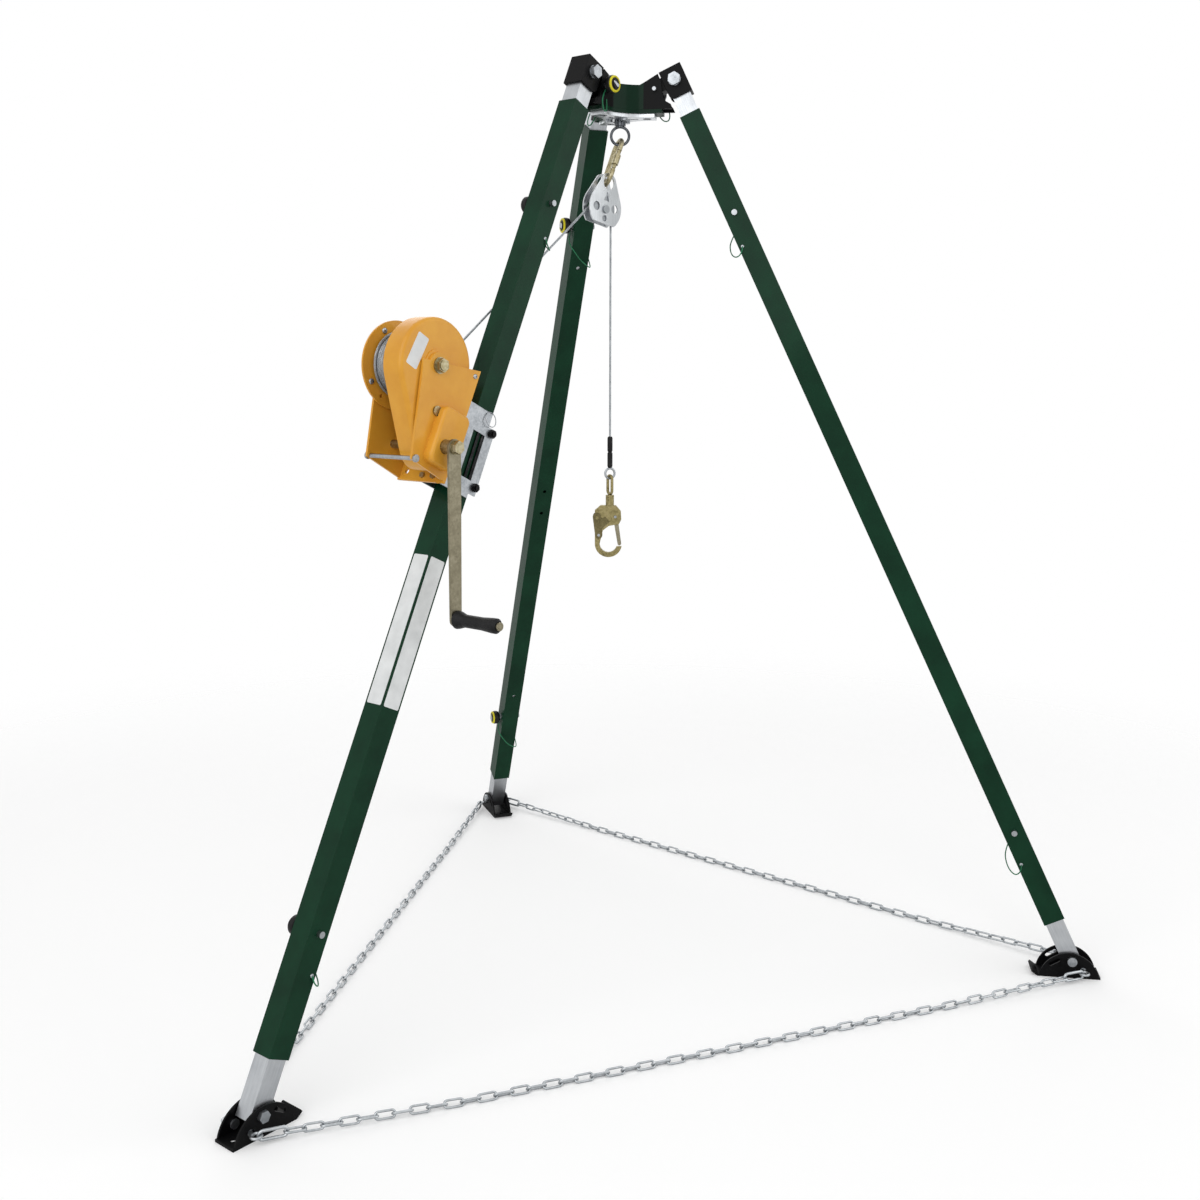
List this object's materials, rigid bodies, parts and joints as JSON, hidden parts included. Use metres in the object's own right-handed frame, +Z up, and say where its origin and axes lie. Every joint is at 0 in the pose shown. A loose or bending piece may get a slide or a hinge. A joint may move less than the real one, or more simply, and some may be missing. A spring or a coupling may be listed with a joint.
{
  "type": "rescue tripod",
  "caption": "Folding rescue tripod with telescopic legs, a hand-cranked cable winch on one leg, a hanging pulley and a swivel snap hook for lowering and raising a person.",
  "frame": {"origin": "middle of the box round the three feet, on the floor", "axes": "+Z up; +Y towards the back leg; the winch leg is front left (-X) and the right leg front right (+X)"},
  "size_m": [1.8422, 1.601, 1.932],
  "materials": {
    "green_coat": "satin powder coat",
    "black_coat": "satin powder coat",
    "yellow_coat": "gloss powder coat",
    "aluminium": "brushed",
    "zinc": "zinc plated",
    "yellow_zinc": "yellow zinc plated",
    "steel": "bright",
    "dark_steel": "blackened",
    "knob": "moulded",
    "cord": "coated wire"
  },
  "bodies": {
    "head": {"head_deck": "green_coat", "head_side_plates": "green_coat", "pivot_lugs": "black_coat", "anchor_plate": "aluminium", "head_bolts": "zinc", "head_lanyards": "cord", "safety_chain": "zinc", "rope_lead": "steel", "rope_fall": "steel"},
    "winch_leg_upper": {"winch_leg_block": "black_coat", "winch_leg_upper_tube": "aluminium"},
    "winch_leg_outer": {"winch_leg_outer_tube": "green_coat", "winch_leg_lanyards": "cord", "winch_bracket": "zinc", "winch_frame": "yellow_coat", "winch_bolts": "yellow_zinc", "gear_cover": "yellow_coat", "brake_cover": "yellow_coat", "ratchet_wheel": "steel"},
    "winch_leg_lower": {"winch_leg_lower_tube": "aluminium"},
    "winch_leg_foot": {"winch_leg_foot": "black_coat"},
    "winch_leg_upper_pin": {"winch_leg_upper_pin": "knob"},
    "winch_leg_lower_pin": {"winch_leg_lower_pin": "knob"},
    "winch_leg_head_pin": {"winch_leg_head_pin": "knob"},
    "right_leg_upper": {"right_leg_block": "black_coat", "right_leg_upper_tube": "aluminium"},
    "right_leg_outer": {"right_leg_outer_tube": "green_coat", "right_leg_lanyards": "cord"},
    "right_leg_lower": {"right_leg_lower_tube": "aluminium"},
    "right_leg_foot": {"right_leg_foot": "black_coat"},
    "right_leg_upper_pin": {"right_leg_upper_pin": "knob"},
    "right_leg_lower_pin": {"right_leg_lower_pin": "knob"},
    "right_leg_head_pin": {"right_leg_head_pin": "knob"},
    "back_leg_upper": {"back_leg_block": "black_coat", "back_leg_upper_tube": "aluminium"},
    "back_leg_outer": {"back_leg_outer_tube": "green_coat", "back_leg_lanyards": "cord"},
    "back_leg_lower": {"back_leg_lower_tube": "aluminium"},
    "back_leg_foot": {"back_leg_foot": "black_coat"},
    "back_leg_upper_pin": {"back_leg_upper_pin": "knob"},
    "back_leg_lower_pin": {"back_leg_lower_pin": "knob"},
    "back_leg_head_pin": {"back_leg_head_pin": "knob"},
    "swivel": {"swivel_eye": "dark_steel"},
    "carabiner": {"carabiner": "yellow_zinc"},
    "carabiner_gate": {"carabiner_gate": "yellow_zinc"},
    "pulley": {"pulley_cheeks": "aluminium", "pulley_axle": "steel"},
    "sheave": {"pulley_sheave": "aluminium"},
    "drum": {"drum": "yellow_coat", "rope_winding": "steel"},
    "countershaft": {"countershaft_gear": "steel"},
    "crank": {"crank_shaft": "yellow_zinc", "crank_arm": "yellow_zinc"},
    "grip": {"crank_grip": "knob"},
    "pawl": {"pawl": "steel"},
    "rope_end": {"rope_end": "dark_steel"},
    "hook_eye": {"hook_eye": "yellow_zinc"},
    "hook": {"hook_body": "yellow_zinc"},
    "hook_gate": {"hook_gate": "yellow_zinc"},
    "hook_lock": {"hook_lock": "yellow_zinc"}
  },
  "joints": [
    {"name": "winch_leg_fold", "type": "hinge", "parent": "head", "child": "winch_leg_upper", "pos_m": [-0.10219, -0.31018, 1.89713], "axis": [0.5, -0.866, 0], "range_deg": [0, 20], "deforming": ["safety_chain", "rope_lead"]},
    {"name": "winch_leg_upper_slide", "type": "slide", "parent": "winch_leg_upper", "child": "winch_leg_outer", "axis": [-0.3674, -0.2121, -0.9056], "range_m": [0, 0.25], "deforming": ["safety_chain", "rope_lead"]},
    {"name": "winch_leg_lower_slide", "type": "slide", "parent": "winch_leg_outer", "child": "winch_leg_lower", "axis": [-0.3674, -0.2121, -0.9056], "range_m": [0, 0.35], "deforming": ["safety_chain"]},
    {"name": "winch_leg_foot_tilt", "type": "hinge", "parent": "winch_leg_lower", "child": "winch_leg_foot", "pos_m": [-0.8564, -0.74562, 0.038], "axis": [0.5, -0.866, 0], "range_deg": [-25, 25], "deforming": ["safety_chain"]},
    {"name": "winch_leg_upper_pin_pull", "type": "slide", "parent": "winch_leg_outer", "child": "winch_leg_upper_pin", "axis": [-0.5, 0.866, 0], "range_m": [0, 0.065], "deforming": ["winch_leg_lanyards"]},
    {"name": "winch_leg_lower_pin_pull", "type": "slide", "parent": "winch_leg_outer", "child": "winch_leg_lower_pin", "axis": [-0.5, 0.866, 0], "range_m": [0, 0.065], "deforming": ["winch_leg_lanyards"]},
    {"name": "winch_leg_head_pin_pull", "type": "slide", "parent": "head", "child": "winch_leg_head_pin", "axis": [0.5, -0.866, 0], "range_m": [0, 0.065], "deforming": ["head_lanyards"]},
    {"name": "right_leg_fold", "type": "hinge", "parent": "head", "child": "right_leg_upper", "pos_m": [0.10219, -0.31018, 1.89713], "axis": [0.5, 0.866, 0], "range_deg": [0, 25], "deforming": ["safety_chain"]},
    {"name": "right_leg_upper_slide", "type": "slide", "parent": "right_leg_upper", "child": "right_leg_outer", "axis": [0.3674, -0.2121, -0.9056], "range_m": [0, 0.25], "deforming": ["safety_chain"]},
    {"name": "right_leg_lower_slide", "type": "slide", "parent": "right_leg_outer", "child": "right_leg_lower", "axis": [0.3674, -0.2121, -0.9056], "range_m": [0, 0.35], "deforming": ["safety_chain"]},
    {"name": "right_leg_foot_tilt", "type": "hinge", "parent": "right_leg_lower", "child": "right_leg_foot", "pos_m": [0.8564, -0.74562, 0.038], "axis": [0.5, 0.866, 0], "range_deg": [-25, 25], "deforming": ["safety_chain"]},
    {"name": "right_leg_upper_pin_pull", "type": "slide", "parent": "right_leg_outer", "child": "right_leg_upper_pin", "axis": [0.5, 0.866, 0], "range_m": [0, 0.065], "deforming": ["right_leg_lanyards"]},
    {"name": "right_leg_lower_pin_pull", "type": "slide", "parent": "right_leg_outer", "child": "right_leg_lower_pin", "axis": [0.5, 0.866, 0], "range_m": [0, 0.065], "deforming": ["right_leg_lanyards"]},
    {"name": "right_leg_head_pin_pull", "type": "slide", "parent": "head", "child": "right_leg_head_pin", "axis": [0.5, 0.866, 0], "range_m": [0, 0.065], "deforming": ["head_lanyards"]},
    {"name": "back_leg_fold", "type": "hinge", "parent": "head", "child": "back_leg_upper", "pos_m": [0, -0.13318, 1.89713], "axis": [-1, 0, 0], "range_deg": [0, 25], "deforming": ["safety_chain"]},
    {"name": "back_leg_upper_slide", "type": "slide", "parent": "back_leg_upper", "child": "back_leg_outer", "axis": [0, 0.4242, -0.9056], "range_m": [0, 0.25], "deforming": ["safety_chain"]},
    {"name": "back_leg_lower_slide", "type": "slide", "parent": "back_leg_outer", "child": "back_leg_lower", "axis": [0, 0.4242, -0.9056], "range_m": [0, 0.35], "deforming": ["safety_chain"]},
    {"name": "back_leg_foot_tilt", "type": "hinge", "parent": "back_leg_lower", "child": "back_leg_foot", "pos_m": [0, 0.7377, 0.038], "axis": [-1, 0, 0], "range_deg": [-25, 25], "deforming": ["safety_chain"]},
    {"name": "back_leg_upper_pin_pull", "type": "slide", "parent": "back_leg_outer", "child": "back_leg_upper_pin", "axis": [-1, 0, 0], "range_m": [0, 0.065], "deforming": ["back_leg_lanyards"]},
    {"name": "back_leg_lower_pin_pull", "type": "slide", "parent": "back_leg_outer", "child": "back_leg_lower_pin", "axis": [-1, 0, 0], "range_m": [0, 0.065], "deforming": ["back_leg_lanyards"]},
    {"name": "back_leg_head_pin_pull", "type": "slide", "parent": "head", "child": "back_leg_head_pin", "axis": [-1, 0, 0], "range_m": [0, 0.065], "deforming": ["head_lanyards"]},
    {"name": "swivel_turn", "type": "hinge", "parent": "head", "child": "swivel", "pos_m": [0, -0.25118, 1.82113], "axis": [0, 0, 1], "continuous": true, "deforming": ["rope_lead", "rope_fall"]},
    {"name": "carabiner_swing", "type": "hinge", "parent": "swivel", "child": "carabiner", "pos_m": [0, -0.25118, 1.76813], "axis": [0.9317, -0.3633, 0], "range_deg": [-10, 10], "deforming": ["rope_lead", "rope_fall"]},
    {"name": "carabiner_gate_swing", "type": "hinge", "parent": "carabiner", "child": "carabiner_gate", "pos_m": [-0.02608, -0.28238, 1.71761], "axis": [-0.9248, 0.0566, 0.3762], "range_deg": [0, 25], "stiffness_Nm_per_rad": 0.05},
    {"name": "pulley_swing", "type": "hinge", "parent": "carabiner", "child": "pulley", "pos_m": [-0.03968, -0.26855, 1.6841], "axis": [0.401, -0.9161, 0], "range_deg": [-30, 30], "deforming": ["rope_lead", "rope_fall"]},
    {"name": "sheave_turn", "type": "hinge", "parent": "pulley", "child": "sheave", "pos_m": [-0.04947, -0.27283, 1.62913], "axis": [0.401, -0.9161, 0], "range_deg": [-1847, 869]},
    {"name": "drum_turn", "type": "hinge", "parent": "winch_leg_outer", "child": "drum", "pos_m": [-0.50004, -0.53988, 1.30068], "axis": [-0.5, 0.866, 0], "range_deg": [-800, 375]},
    {"name": "countershaft_turn", "type": "hinge", "parent": "winch_leg_outer", "child": "countershaft", "pos_m": [-0.50821, -0.54459, 1.21872], "axis": [-0.5, 0.866, 0], "range_deg": [-1177, 2505]},
    {"name": "crank_turn", "type": "hinge", "parent": "winch_leg_outer", "child": "crank", "pos_m": [-0.50608, -0.54337, 1.15377], "axis": [-0.5, 0.866, 0], "range_deg": [-5630, 2642]},
    {"name": "grip_spin", "type": "hinge", "parent": "crank", "child": "grip", "pos_m": [-0.46108, -0.62131, 0.83877], "axis": [-0.5, 0.866, 0], "continuous": true},
    {"name": "pawl_lift", "type": "hinge", "parent": "winch_leg_outer", "child": "pawl", "pos_m": [-0.48271, -0.52987, 1.18309], "axis": [-0.5, 0.866, 0], "range_deg": [0, 18], "stiffness_Nm_per_rad": 0.05},
    {"name": "hook_travel", "type": "slide", "parent": "head", "child": "rope_end", "axis": [0, 0, 1], "range_m": [-0.85, 0.4], "deforming": ["rope_fall"]},
    {"name": "hook_swing", "type": "hinge", "parent": "rope_end", "child": "hook_eye", "pos_m": [-0.02528, -0.26225, 1.05823], "axis": [0.9979, 0.0645, 0], "range_deg": [-25, 25]},
    {"name": "hook_turn", "type": "hinge", "parent": "hook_eye", "child": "hook", "pos_m": [-0.02528, -0.26225, 0.99993], "axis": [0, 0, 1], "continuous": true},
    {"name": "hook_gate_swing", "type": "hinge", "parent": "hook", "child": "hook_gate", "pos_m": [-0.0141, -0.2666, 0.97493], "axis": [0.3633, 0.9317, 0], "range_deg": [0, 28], "stiffness_Nm_per_rad": 0.05},
    {"name": "hook_lock_press", "type": "hinge", "parent": "hook", "child": "hook_lock", "pos_m": [-0.04764, -0.25353, 0.93493], "axis": [0.3633, 0.9317, 0], "range_deg": [0, 10], "stiffness_Nm_per_rad": 0.05}
  ],
  "couplings": [
    {"joint": "countershaft_turn", "follows": "drum_turn", "ratio": -3.125},
    {"joint": "crank_turn", "follows": "drum_turn", "ratio": 7.0312},
    {"joint": "sheave_turn", "follows": "drum_turn", "ratio": 2.303},
    {"joint": "hook_travel", "follows": "drum_turn", "m_per_rad": 0.0608}
  ]
}
